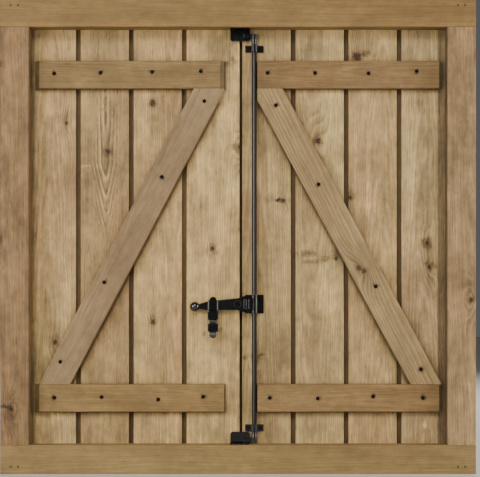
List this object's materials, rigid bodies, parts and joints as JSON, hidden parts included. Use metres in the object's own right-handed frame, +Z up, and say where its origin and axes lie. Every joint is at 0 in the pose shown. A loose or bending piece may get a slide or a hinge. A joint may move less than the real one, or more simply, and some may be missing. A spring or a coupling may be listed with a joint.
{
  "type": "z-brace wooden shutter",
  "caption": "Pair of ledged and braced plank shutter leaves in a timber frame, opening outward, locked by a turning rod bolt with hooks, lifting handle and tilting catch.",
  "frame": {"origin": "centre of the sill's flat underside", "axes": "+X to the right seen from the room, +Z up, -Y faces the room and +Y faces outdoors, the way the leaves open"},
  "size_m": [1.19, 0.0845, 1.19],
  "materials": {
    "head_timber": "oiled softwood, weathered brown",
    "jamb_timber": "oiled softwood, pale brown",
    "board_timber": "oiled softwood with knots and open figure",
    "ledge_timber": "oiled softwood, darker than the boards",
    "black_iron": "black paint, satin, on forged iron",
    "black_screw": "blackened steel, matt"
  },
  "bodies": {
    "frame": {"head": "head_timber", "sill": "head_timber", "left_jamb": "jamb_timber", "right_jamb": "jamb_timber", "frame_nails": "black_screw", "top_keeper": "black_iron", "bottom_keeper": "black_iron", "left_upper_hinge_plate": "black_iron", "left_upper_hinge_pin": "black_iron", "left_lower_hinge_plate": "black_iron", "left_lower_hinge_pin": "black_iron", "right_upper_hinge_plate": "black_iron", "right_upper_hinge_pin": "black_iron", "right_lower_hinge_plate": "black_iron", "right_lower_hinge_pin": "black_iron"},
    "left_leaf": {"left_board_1": "board_timber", "left_board_2": "board_timber", "left_board_3": "board_timber", "left_board_4": "board_timber", "left_top_ledge": "ledge_timber", "left_bottom_ledge": "ledge_timber", "left_brace": "ledge_timber", "left_leaf_screws": "black_screw", "left_upper_hinge_strap": "black_iron", "left_lower_hinge_strap": "black_iron", "catch_bracket": "black_iron", "catch_pin": "black_iron", "catch_washer": "black_iron", "catch_nut": "black_iron"},
    "right_leaf": {"right_board_1": "board_timber", "right_board_2": "board_timber", "right_board_3": "board_timber", "right_board_4": "board_timber", "right_top_ledge": "ledge_timber", "right_bottom_ledge": "ledge_timber", "right_brace": "ledge_timber", "right_leaf_screws": "black_screw", "right_upper_hinge_strap": "black_iron", "right_lower_hinge_strap": "black_iron", "cover_strip": "board_timber", "top_rod_guide": "black_iron", "middle_rod_guide": "black_iron", "bottom_rod_guide": "black_iron"},
    "rod": {"rod": "black_iron", "top_hook": "black_iron", "bottom_hook": "black_iron", "hook_pins": "black_iron", "handle_hub": "black_iron", "hub_pin": "black_iron", "pivot_rivet": "black_iron"},
    "handle": {"handle_lever": "black_iron"},
    "catch": {"catch_rocker": "black_iron"}
  },
  "joints": [
    {"name": "left_leaf_swing", "type": "hinge", "parent": "frame", "child": "left_leaf", "pos_m": [-0.5335, 0.0425, 0.595], "axis": [0, 0, 1], "range_deg": [0, 170]},
    {"name": "right_leaf_swing", "type": "hinge", "parent": "frame", "child": "right_leaf", "pos_m": [0.5335, 0.0425, 0.595], "axis": [0, 0, -1], "range_deg": [0, 170]},
    {"name": "rod_turn", "type": "hinge", "parent": "right_leaf", "child": "rod", "pos_m": [0.0406, 0.002, 0.595], "axis": [0, 0, 1], "range_deg": [0, 170]},
    {"name": "handle_lift", "type": "hinge", "parent": "rod", "child": "handle", "pos_m": [-0.0016, 0.002, 0.4245], "axis": [0, 1, 0], "range_deg": [0, 75]},
    {"name": "catch_tilt", "type": "hinge", "parent": "left_leaf", "child": "catch", "pos_m": [-0.0633, -0.0102, 0.3803], "axis": [1, 0, 0], "range_deg": [0, 30]}
  ]
}
